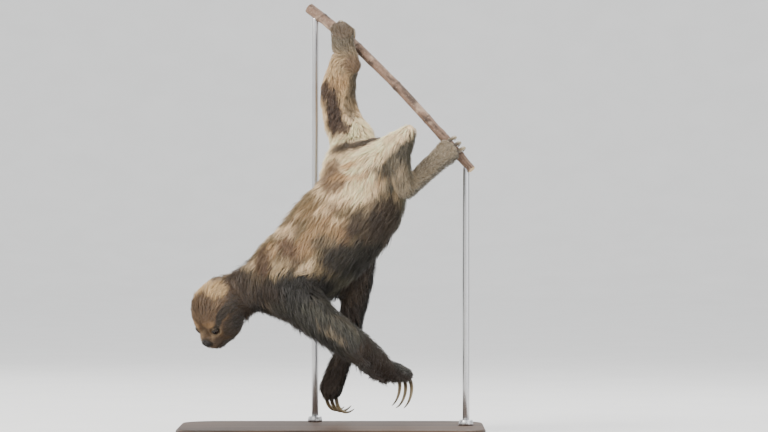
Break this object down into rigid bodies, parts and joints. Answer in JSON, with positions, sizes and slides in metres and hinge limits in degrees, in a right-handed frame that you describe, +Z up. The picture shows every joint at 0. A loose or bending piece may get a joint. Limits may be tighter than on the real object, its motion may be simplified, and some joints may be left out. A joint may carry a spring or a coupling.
{
  "type": "three-toed sloth",
  "caption": "Life-size model of a three-toed sloth hanging head down by its hind claws from a short length of branch, held over a flat base by slim rods",
  "frame": {"origin": "middle of the underside of the stand's base", "axes": "+Z up; +X from the sloth's head end towards its rump; +Y from its left side towards its right side; the belly faces +X and down"},
  "size_m": [0.45, 0.3, 0.6432],
  "materials": {
    "coat": "long coarse coat, grey-brown with cream patches, darker on the chest and arms",
    "claw": "dull yellow-grey horn",
    "eye": "wet, near black",
    "nose": "dark, finely grained, slightly moist",
    "bark": "rough grey-brown bark with pale cut ends",
    "base_wood": "dark satin-varnished board",
    "rod_steel": "brushed"
  },
  "bodies": {
    "root": {"head": "coat", "neck": "coat", "trunk": "coat", "tail": "coat", "left_upper_arm": "coat", "left_forearm": "coat", "left_hand": "coat", "right_upper_arm": "coat", "right_forearm": "coat", "right_hand": "coat", "left_thigh": "coat", "left_shin": "coat", "left_foot": "coat", "right_thigh": "coat", "right_shin": "coat", "right_foot": "coat", "left_arm_claw_1": "claw", "left_arm_claw_2": "claw", "left_arm_claw_3": "claw", "right_arm_claw_1": "claw", "right_arm_claw_2": "claw", "right_arm_claw_3": "claw", "left_leg_claw_1": "claw", "left_leg_claw_2": "claw", "left_leg_claw_3": "claw", "right_leg_claw_1": "claw", "right_leg_claw_2": "claw", "right_leg_claw_3": "claw", "left_eye": "eye", "right_eye": "eye", "nose": "nose", "perch_branch": "bark", "stand_base": "base_wood", "stand_rod_left": "rod_steel", "stand_rod_right": "rod_steel", "stand_collar_left": "rod_steel", "stand_collar_right": "rod_steel"}
  },
  "joints": []
}
